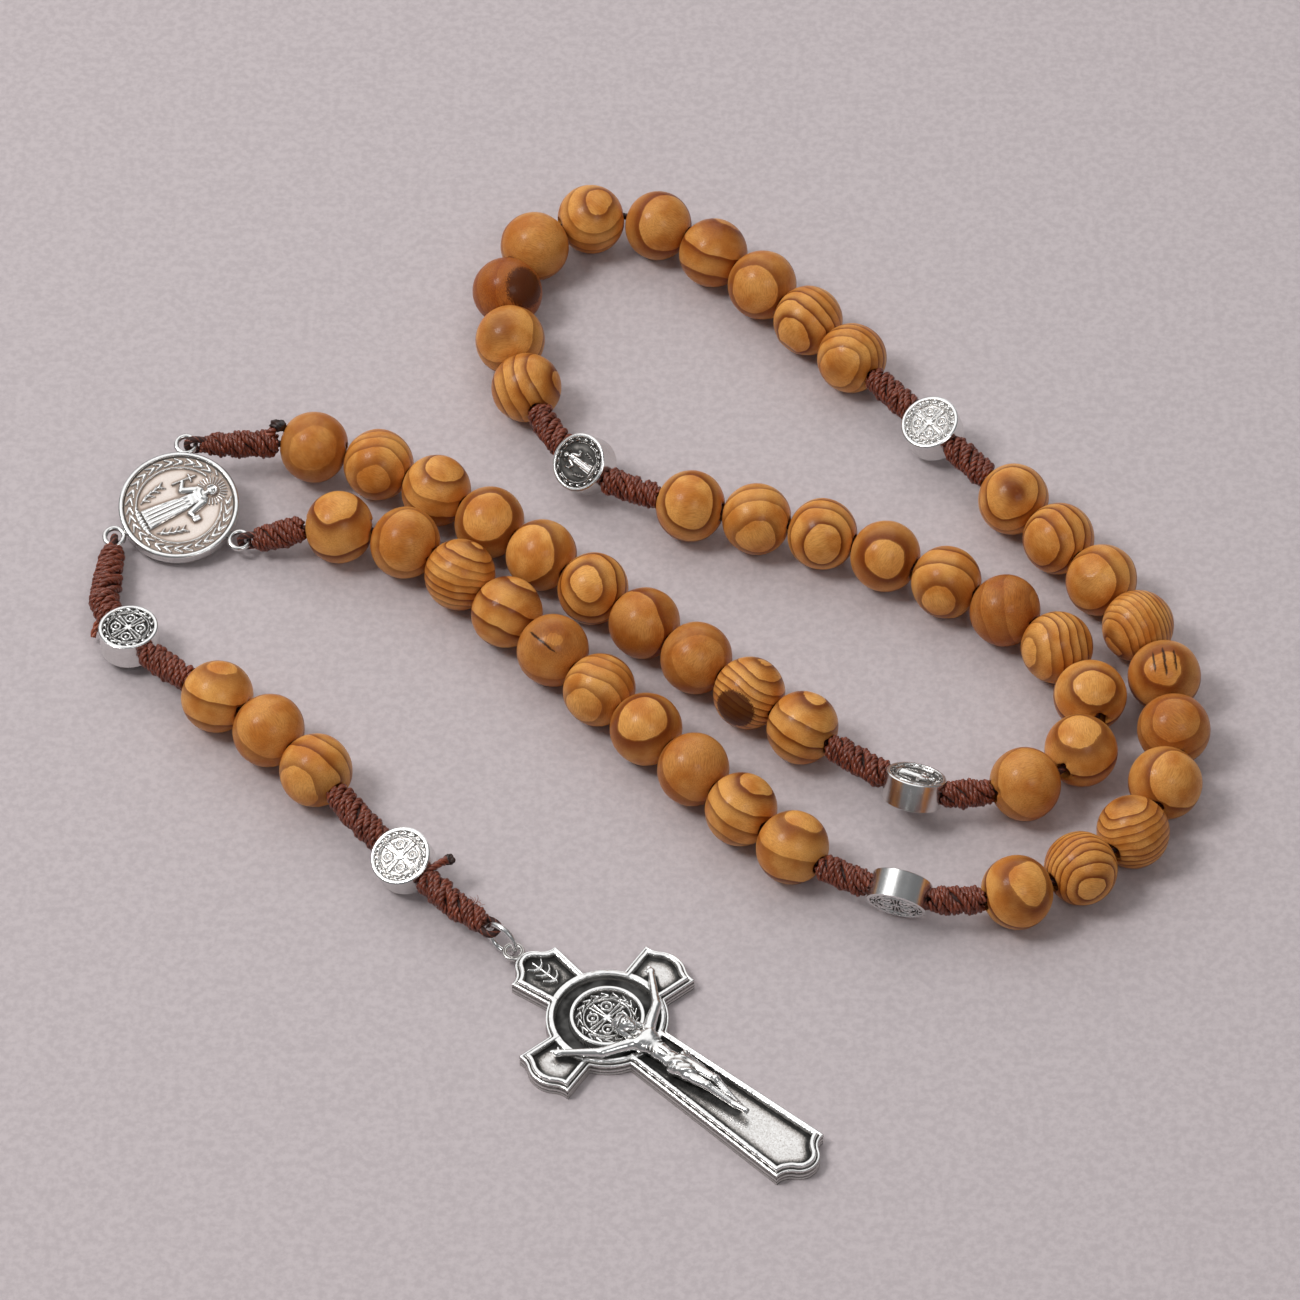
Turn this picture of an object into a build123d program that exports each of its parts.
"""Five-decade rosary of turned wooden beads and small cast medals on a knotted cord, laid out on a flat surface.

Millimetres, +Z up. The surface is z = 0 and the origin is under the middle of the layout. The bead cord runs from
the top eyelet of the centrepiece round the loop to its right eyelet; the drop cord runs from the lower eyelet to
the jump ring that carries the crucifix.
"""
from build123d import *
import math
import os

# ---- Cord and knots ----
CORD_DIAMETER = 1.0
ARC_SHARE = 0.45            # part of the shorter run that each arc of the cord takes up
GAP = 0.2                   # clearance between neighbours on the cord
BEND_ROOM = 0.9             # more clearance where the cord bends, times the sine of half the bend
KNOT_DIAMETER = 4.0
KNOT_CORE = 1.9             # room for one cord through a barrel knot
KNOT_LOOP_CORE = 2.6        # room for the two legs of a cord loop
KNOT_NOSE = 0.8             # rounded ends of a knot

# ---- Wooden beads ----
BEAD_DIAMETER = 10.0
BEAD_LENGTH = 9.3           # along the bore
BEAD_BORE = 2.4
BORE_MOUTH = 0.35           # rounding where the bore meets the outside

# ---- Medal beads ----
MEDAL_DIAMETER = 8.2
MEDAL_THICKNESS = 4.0
MEDAL_BORE = 2.2
MEDAL_RIM = 0.45
MEDAL_SINK = 0.25           # depth of each face inside its rim
MEDAL_EDGE = 0.3
MEDAL_REACH = MEDAL_DIAMETER + 0.3      # length of cord that a medal bead takes up

# ---- Centrepiece ----
CENTRE_DIAMETER = 16.8
CENTRE_THICKNESS = 1.8
CENTRE_RIM = 0.8
CENTRE_SINK = 0.3
CENTRE_BAND = 6.0           # radius of the raised line inside the rim
CENTRE_BAND_WIDTH = 0.35
CENTRE_PLACE = (-65.6, 27.3, 3.8)
CENTRE_TILT = 14.0          # degrees, far side raised by the stiff knots
CENTRE_HEADING = 27.5       # degrees from +X to the top of the medal
EYELET_ANGLES = (58.7, -58.7, 180.0)    # from the top of the medal, degrees
EYELET_REACH = 10.0         # middle of the disc to the middle of an eyelet
EYELET_RADIUS = 1.33        # middle of the eyelet's wire
EYELET_WIRE = 0.8

# ---- Jump ring and crucifix ----
RING_RADIUS = 2.3
RING_WIRE = 0.8
RING_HEADING = -40.0
RING_CONTACT = 28.6         # degrees below level where the ring carries the crucifix
CROSS_HEADING = -42.0       # degrees from +X to the foot of the crucifix
CROSS_EYE_PLACE = (-18.0, -50.1)
CROSS_EYE_HEIGHT = 1.6
CROSS_EYE_RADIUS = 1.2
CROSS_EYE_WIRE = 0.7
CROSS_PLATE = 1.6           # thickness of the back plate
CROSS_BORDER = 0.7          # height of the border over the plate
CROSS_BORDER_WIDTH = 0.8
CROSS_EYE_REACH = 16.8      # roundel centre to eye centre
ARM_ROOT = 2.4              # half width of every arm at the roundel centre
TOP_ARM = (4.25, 13.2, 15.6)      # half width at the end, corner reach, tip reach
SIDE_ARM = (4.3, 12.4, 13.7)
FOOT_ARM = (4.6, 33.7, 36.2)
FOOT_ROOT = 3.2
HALO_OUTER = 8.1            # circular band behind the arms
ROUNDEL_RADIUS = 5.0
ROUNDEL_RISE = 0.9
ROUNDEL_RIM = 0.6

# ---- Figure on the crucifix: joints of the body from the roundel centre, and limb radii ----
FIGURE_BACK = 2.3           # height of the middle of the limbs
HEAD = (-0.5, -3.4, 3.4)
HEAD_RADIUS = 1.15
NECK = (-0.1, -4.8, 2.7)
SHOULDER = (1.7, -5.6)
HAND = (9.2, 0.5)
HIP = (0.7, -12.6)
ANKLE = (0.25, -22.0)
TOE = (0.2, -24.0)
CHEST_RADIUS = 1.6
WAIST_RADIUS = 1.35
COLLAR_RADIUS = 1.0
SHOULDER_RADIUS = 0.75
WRIST_RADIUS = 0.5
THIGH_RADIUS = 1.0
ANKLE_RADIUS = 0.6
TOE_RADIUS = 0.5
CLOTH = (2.1, 3.2, 2.9)     # half width, length and top of the loincloth

# ---- Routes of the two cords, chosen point by point ----
LOOP_ROUTE = [
    (-57.5, 37.5, 5.1), (-61.1, 37.2, 5.5), (-64.9, 36.9, 4.9), (-64.7, 36.9, 7.7), (-61.0, 37.2, 6.6),
    (-55.6, 37.6, 5.9), (-45.0, 38.0, 5.0), (-30.5, 30.5, 5.0), (-11.5, 14.5, 5.0), (3.0, 1.5, 5.0),
    (20.5, -14.0, 5.0), (36.5, -26.4, 5.0), (49.5, -25.0, 5.0), (57.0, -21.0, 5.0), (61.5, -13.5, 5.0),
    (59.0, -3.5, 5.0), (52.5, 5.0, 5.0), (37.0, 15.0, 5.0), (23.5, 22.0, 5.0), (-1.0, 28.1, 5.0),
    (-11.5, 35.6, 5.0), (-18.0, 49.5, 5.0), (-21.0, 63.5, 5.0), (-20.0, 73.0, 5.0), (-14.0, 80.5, 5.0),
    (-6.0, 84.0, 5.0), (3.0, 81.0, 5.0), (17.5, 68.5, 5.0), (33.5, 49.1, 5.0), (48.5, 30.5, 5.0),
    (62.5, 13.5, 5.0), (70.5, -2.5, 5.0), (71.5, -16.5, 5.0), (69.0, -26.5, 5.0), (63.5, -34.5, 5.0),
    (56.0, -40.0, 5.0), (42.5, -45.4, 5.0), (25.5, -40.7, 5.0), (14.0, -30.5, 5.0), (-1.5, -13.0, 5.0),
    (-15.5, 2.5, 5.0), (-29.5, 17.5, 5.0), (-40.0, 22.9, 5.1), (-47.9, 22.5, 4.9), (-53.2, 22.4, 3.5),
    (-57.1, 22.2, 3.8), (-56.7, 22.2, 0.9), (-53.1, 22.4, 2.4), (-49.5, 22.7, 3.2),
]
DROP_ROUTE = [
    (-74.9, 15.9, 2.2), (-74.7, 18.9, 2.0), (-74.4, 22.6, 0.8), (-74.4, 22.8, 3.7), (-74.6, 19.0, 3.1),
    (-75.0, 13.6, 3.4), (-75.4, 9.0, 3.4), (-69.0, -0.1, 4.0), (-56.5, -10.2, 5.3), (-46.0, -19.5, 5.1),
    (-38.0, -31.6, 4.9), (-27.4, -42.3, 4.1), (-23.0, -45.5, 3.7), (-19.4, -46.9, 3.4), (-21.1, -49.3, 3.4),
    (-23.6, -46.3, 3.7), (-26.1, -44.7, 3.9),
]
LOOP_FIRST = 26.8           # start of the bead cord to the middle of its first bead
DROP_FIRST = 28.9           # start of the drop cord to the middle of its first medal
DECADE_BEADS = 10
DECADES = 5
DROP_BEADS = 3
LOOP_KNOTS = (8.8, 5.6, 7.4, 7.5, 8.3, 8.0, 6.3, 6.7)
DROP_KNOTS = (8.0, 10.2)
PAIRED_BEADS = (4, 5, 7, 1, 4)      # first of the two beads in each decade that share one node
BISECTIONS = 24
MEDAL_FACES = ((0.1, 0.5, 0.9), (-0.12, -0.72, 0.68), (0.0, -0.5, 0.85), (0.0, -0.94, -0.35))
DROP_MEDAL_FACES = ((0.0, 0.0, 1.0), (0.0, -0.5, 0.85))


def unit(vector):
    """The direction of a vector."""
    return Vector(vector).normalized()


def corner_radii(points):
    """Arc radius at each inner point of a route, as large as its two runs allow."""
    spots = [Vector(*point) for point in points]
    radii = []
    for before, corner, after in zip(spots, spots[1:], spots[2:]):
        run_in, run_out = corner - before, after - corner
        half_turn = math.radians(run_in.get_angle(run_out)) / 2
        radii.append(ARC_SHARE * min(run_in.length, run_out.length) / math.tan(half_turn))
    return radii


def cord_path(points):
    """Straight runs joined by tangent arcs."""
    return FilletPolyline(*points, radius=corner_radii(points))


def cord_tube(path):
    """Round cord along a path."""
    start = Plane(origin=path @ 0, z_dir=path % 0)
    return sweep(start * Circle(CORD_DIAMETER / 2), path=path)


def settle(path, distance, length):
    """Middle of a piece on the cord, lying between the arc and its chord."""
    middle, front, back = (
        path.position_at(distance + step, position_mode=PositionMode.LENGTH)
        for step in (0, length / 2, -length / 2)
    )
    return (middle + (front + back) / 2) / 2, unit(front - back)


def string_on(path, first, lengths):
    """Middle and bore direction of pieces strung one against the next, GAP apart."""
    placed, distance = [settle(path, first, lengths[0])], first
    for before, length in zip(lengths, lengths[1:]):
        pitch = (before + length) / 2 + GAP
        near, far = distance, distance + 2 * pitch
        for _ in range(BISECTIONS):
            distance = (near + far) / 2
            middle, direction = settle(path, distance, length)
            bend = math.radians(direction.get_angle(placed[-1][1]))
            if (middle - placed[-1][0]).length < pitch + BEND_ROOM * math.sin(bend / 2):
                near = distance
            else:
                far = distance
        placed.append(settle(path, distance, length))
    return placed


def at_place(shape, middle, direction, facing=None):
    """A shape modelled along Z, moved to a place on the cord, its local X turned towards facing."""
    if facing is None:
        return Plane(origin=middle, z_dir=direction).location * shape
    sideways = Vector(*facing) - direction * Vector(*facing).dot(direction)
    return Plane(origin=middle, x_dir=sideways, z_dir=direction).location * shape


def wooden_bead():
    """Turned bead, bored along Z, a little shorter than it is wide, with rounded bore mouths."""
    bore, half = BEAD_BORE / 2, BEAD_LENGTH / 2
    outside = ThreePointArc((bore, -half), (BEAD_DIAMETER / 2, 0), (bore, half))
    inside = Line((bore, half), (bore, -half))
    profile = make_face(Wire([outside, inside]))
    profile = fillet(profile.vertices(), BORE_MOUTH)
    return revolve(Plane.XZ * profile, Axis.Z)


def medal_face(side):
    """What is cut from one face of a medal bead: the field inside the rim, around a raised cross."""
    radius = MEDAL_DIAMETER / 2 - MEDAL_RIM
    field = Cylinder(radius, MEDAL_SINK, align=(Align.CENTER, Align.CENTER, Align.MIN))
    bar = Box(MEDAL_RIM, 2 * radius, MEDAL_SINK, align=(Align.CENTER, Align.CENTER, Align.MIN))
    field -= bar + Rot(Z=90) * bar
    return Rot(Y=90 * side) * Pos(0, 0, MEDAL_THICKNESS / 2 - MEDAL_SINK) * field


def medal_bead():
    """Round cast medal, bored edge to edge along Z, its faces towards +X and -X."""
    disc = Rot(Y=90) * Cylinder(MEDAL_DIAMETER / 2, MEDAL_THICKNESS)
    disc = fillet(disc.edges().filter_by(GeomType.CIRCLE), MEDAL_EDGE)
    disc -= Cylinder(MEDAL_BORE / 2, MEDAL_DIAMETER)
    return disc - medal_face(1) - medal_face(-1)


def barrel_knot(length, core):
    """Outer shape of the turns of a barrel knot, along Z, hollow where the cord runs through."""
    barrel = Cylinder(KNOT_DIAMETER / 2, length)
    barrel = fillet(barrel.edges().filter_by(GeomType.CIRCLE), min(KNOT_NOSE, (KNOT_DIAMETER - core) / 2 - 0.05))
    return barrel - Cylinder(core / 2, length)


def end_knot(start_leg, end_leg, neighbour, half_length):
    """Knot from the mouth of a cord loop, between its two legs, to the first piece on the cord."""
    start = (Vector(*start_leg) + Vector(*end_leg)) / 2
    reach = neighbour - start
    length = reach.length - half_length - GAP
    knot = barrel_knot(length, KNOT_LOOP_CORE)
    return at_place(knot, start + unit(reach) * (length / 2), unit(reach))


def centre_pose():
    """Place of the centrepiece: its top along local +X, its far side raised."""
    return Pos(*CENTRE_PLACE) * Rot(X=CENTRE_TILT) * Rot(Z=CENTRE_HEADING)


def centrepiece():
    """Round cast medal with a rim on both faces and three eyelets in its own plane."""
    disc = Cylinder(CENTRE_DIAMETER / 2, CENTRE_THICKNESS)
    field = Cylinder(CENTRE_DIAMETER / 2 - CENTRE_RIM, CENTRE_SINK)
    band = Cylinder(CENTRE_BAND, CENTRE_SINK) - Cylinder(CENTRE_BAND - CENTRE_BAND_WIDTH, CENTRE_SINK)
    for side in (1, -1):
        disc -= Pos(0, 0, side * (CENTRE_THICKNESS - CENTRE_SINK) / 2) * (field - band)
    for angle in EYELET_ANGLES:
        disc += Rot(Z=angle) * Pos(EYELET_REACH, 0, 0) * Torus(EYELET_RADIUS, EYELET_WIRE / 2)
    return centre_pose() * disc


def cross_pose():
    """Place of the crucifix: flat on its back, its foot along CROSS_HEADING."""
    return Pos(*CROSS_EYE_PLACE, 0) * Rot(Z=CROSS_HEADING + 90) * Pos(0, -CROSS_EYE_REACH, 0)


def eye_middle():
    """Middle of the crucifix's eye."""
    return Vector(*CROSS_EYE_PLACE, CROSS_EYE_HEIGHT)


def ring_middle():
    """Middle of the jump ring, which stands on edge and dips into the crucifix's eye."""
    heading, dip = math.radians(RING_HEADING), math.radians(RING_CONTACT)
    level = RING_RADIUS * math.cos(dip)
    back = Vector(-level * math.cos(heading), -level * math.sin(heading), RING_RADIUS * math.sin(dip))
    return eye_middle() + back


def ring_axis():
    """Axis of the jump ring, level and across its heading."""
    heading = math.radians(RING_HEADING)
    return Vector(-math.sin(heading), math.cos(heading), 0)


def jump_ring():
    """Closed ring of round wire."""
    stood = Plane(origin=ring_middle(), z_dir=ring_axis())
    return stood.location * Torus(RING_RADIUS, RING_WIRE / 2)


def arm_outline(root, end, reach, tip):
    """One flared arm along +Y with a bracket-shaped end."""
    rise = tip - reach
    corner, shoulder = (end, reach), (end * 0.5, reach + rise * 0.5)
    hollow = (end * 0.72, reach + rise * 0.1)
    edges = [
        Line((root, 0), corner),
        ThreePointArc(corner, hollow, shoulder),
        ThreePointArc(shoulder, (0, tip), (-shoulder[0], shoulder[1])),
        ThreePointArc((-shoulder[0], shoulder[1]), (-hollow[0], hollow[1]), (-corner[0], corner[1])),
        Line((-corner[0], corner[1]), (-root, 0)),
        Line((-root, 0), (root, 0)),
    ]
    return make_face(Wire(edges))


def cross_outline():
    """Outline of the crucifix: four flared arms over a circular band."""
    outline = Circle(HALO_OUTER) + arm_outline(ARM_ROOT, *TOP_ARM)
    for turn in (90, -90):
        outline += Rot(Z=turn) * arm_outline(ARM_ROOT, *SIDE_ARM)
    return outline + Rot(Z=180) * arm_outline(FOOT_ROOT, *FOOT_ARM)


def crucifix_cross():
    """Cast cross with a raised border, a roundel and an eye at its top, in its own frame."""
    outline = cross_outline()
    plate = extrude(outline, CROSS_PLATE)
    inner = offset(outline, -CROSS_BORDER_WIDTH)
    halo = Circle(HALO_OUTER) - Circle(HALO_OUTER - CROSS_BORDER_WIDTH)
    border = Pos(0, 0, CROSS_PLATE) * extrude(outline - inner + halo, CROSS_BORDER)
    roundel = Cylinder(ROUNDEL_RADIUS, ROUNDEL_RISE, align=(Align.CENTER, Align.CENTER, Align.MIN))
    field = Pos(0, 0, ROUNDEL_RISE / 2) * Cylinder(ROUNDEL_RADIUS - ROUNDEL_RIM, ROUNDEL_RISE)
    eye = Pos(0, CROSS_EYE_REACH, CROSS_EYE_HEIGHT) * Torus(CROSS_EYE_RADIUS, CROSS_EYE_WIRE / 2)
    return plate + border + Pos(0, 0, CROSS_PLATE) * (roundel - field) + eye


def limb(start, end, start_radius, end_radius):
    """Rounded tapering limb between two joints."""
    start, end = Vector(*start), Vector(*end)
    length = (end - start).length
    shaft = Cone(start_radius, end_radius, length, align=(Align.CENTER, Align.CENTER, Align.MIN))
    shaft = Plane(origin=start, z_dir=end - start).location * shaft
    return shaft + Pos(*start) * Sphere(start_radius) + Pos(*end) * Sphere(end_radius)


def corpus():
    """Figure stretched on the cross, in the cross's own frame."""
    back = FIGURE_BACK
    figure = limb((0, SHOULDER[1], back), (0, HIP[1], back), CHEST_RADIUS, WAIST_RADIUS)
    figure += Pos(*HEAD) * Sphere(HEAD_RADIUS)
    figure += limb((0, SHOULDER[1], back), NECK, COLLAR_RADIUS, SHOULDER_RADIUS)
    for side in (1, -1):
        shoulder, hand = (side * SHOULDER[0], SHOULDER[1], back), (side * HAND[0], HAND[1], back)
        hip, ankle = (side * HIP[0], HIP[1], back), (side * ANKLE[0], ANKLE[1], back)
        figure += limb((0, SHOULDER[1], back), shoulder, COLLAR_RADIUS, SHOULDER_RADIUS)
        figure += limb(shoulder, hand, SHOULDER_RADIUS, WRIST_RADIUS)
        figure += limb(hip, ankle, THIGH_RADIUS, ANKLE_RADIUS)
    figure += limb((0, ANKLE[1], back), (*TOE, back), ANKLE_RADIUS, TOE_RADIUS)
    half_width, length, top = CLOTH
    figure += Pos(0, HIP[1] - length / 2, top / 2) * Box(2 * half_width, length, top)
    above = Pos(0, 0, CROSS_PLATE) * extrude(cross_outline(), top + HEAD_RADIUS * 2)
    return (figure & above) - crucifix_cross()


def bead_groups(strung, paired):
    """Splits a decade into single beads and one pair that turns on one axis, as (numbers, beads)."""
    groups, number = [], 0
    while number < len(strung):
        if number == paired:
            pair = strung[number:number + 2]
            axis = unit(pair[1][0] - pair[0][0])
            groups.append(((number + 1, number + 2), [(middle, axis) for middle, _ in pair]))
            number += 2
        else:
            groups.append(((number + 1,), [strung[number]]))
            number += 1
    return groups


def loop_layout():
    """Everything strung on the bead cord: decades of beads, knots and medals, as (middle, direction)."""
    lengths = []
    for decade in range(DECADES):
        lengths += [BEAD_LENGTH] * DECADE_BEADS
        if decade < DECADES - 1:
            lengths += [LOOP_KNOTS[2 * decade], MEDAL_REACH, LOOP_KNOTS[2 * decade + 1]]
    strung = string_on(cord_path(LOOP_ROUTE), LOOP_FIRST, lengths)
    stride = DECADE_BEADS + 3
    decades = [strung[stride * n:stride * n + DECADE_BEADS] for n in range(DECADES)]
    medals = [strung[stride * n + DECADE_BEADS + 1] for n in range(DECADES - 1)]
    knots = [strung[stride * n + DECADE_BEADS + step] for n in range(DECADES - 1) for step in (0, 2)]
    return decades, medals, knots


def drop_layout():
    """Everything strung on the drop cord: medal, knot, three beads, knot, medal."""
    lengths = [MEDAL_REACH, DROP_KNOTS[0]] + [BEAD_LENGTH] * DROP_BEADS + [DROP_KNOTS[1], MEDAL_REACH]
    strung = string_on(cord_path(DROP_ROUTE), DROP_FIRST, lengths)
    return strung[2:2 + DROP_BEADS], [strung[0], strung[-1]], [strung[1], strung[-2]]


def cord_node(route, knots, knot_lengths, ends):
    """A cord with its barrel knots, each a solid of its own."""
    path = cord_path(route)
    tube = cord_tube(path)
    pieces = [tube]
    for (middle, direction), length in zip(knots, knot_lengths):
        pieces.append(at_place(barrel_knot(length, KNOT_CORE), middle, direction))
    pieces += [end_knot(*end) for end in ends]
    section = math.pi * CORD_DIAMETER ** 2 / 4
    print("cord", round(path.length, 1), "mm, volume over section times length",
          round(tube.volume / (section * path.length), 4))
    print("radii", [round(radius, 1) for radius in corner_radii(route)])
    return Compound(children=pieces)


def model():
    """Every node of the rosary by name."""
    nodes = {}
    bead, medal = wooden_bead(), medal_bead()
    decades, medals, knots = loop_layout()
    drop_beads, drop_medals, drop_knots = drop_layout()
    for index, decade in enumerate(decades):
        for numbers, beads in bead_groups(decade, PAIRED_BEADS[index]):
            name = "_".join(["wood_bead", str(index + 1)] + [f"{number:02d}" for number in numbers])
            placed = [at_place(bead, *spot) for spot in beads]
            nodes[name] = placed[0] if len(placed) == 1 else Compound(children=placed)
    for index, spot in enumerate(drop_beads):
        nodes[f"wood_bead_drop_{index + 1:02d}"] = at_place(bead, *spot)
    for index, (spot, facing) in enumerate(zip(medals, MEDAL_FACES)):
        nodes[f"medal_bead_{index + 1}"] = at_place(medal, *spot, facing)
    for index, (spot, facing) in enumerate(zip(drop_medals, DROP_MEDAL_FACES)):
        nodes[f"medal_bead_drop_{index + 1}"] = at_place(medal, *spot, facing)
    nodes["loop_cord"] = cord_node(LOOP_ROUTE, knots, LOOP_KNOTS, [
        (LOOP_ROUTE[1], LOOP_ROUTE[4], decades[0][0][0], BEAD_LENGTH / 2),
        (LOOP_ROUTE[-2], LOOP_ROUTE[-5], decades[-1][-1][0], BEAD_LENGTH / 2),
    ])
    nodes["drop_cord"] = cord_node(DROP_ROUTE, drop_knots, DROP_KNOTS, [
        (DROP_ROUTE[1], DROP_ROUTE[4], drop_medals[0][0], MEDAL_REACH / 2),
        (DROP_ROUTE[-2], DROP_ROUTE[-5], drop_medals[1][0], MEDAL_REACH / 2),
    ])
    nodes["centrepiece"] = centrepiece()
    nodes["jump_ring"] = jump_ring()
    nodes["crucifix_cross"] = cross_pose() * crucifix_cross()
    nodes["crucifix_corpus"] = cross_pose() * corpus()
    return nodes


def main():
    """Writes each node to parts/NODE.step."""
    os.makedirs("parts", exist_ok=True)
    for name, shape in model().items():
        export_step(shape, f"parts/{name}.step")


if __name__ == "__main__":
    main()
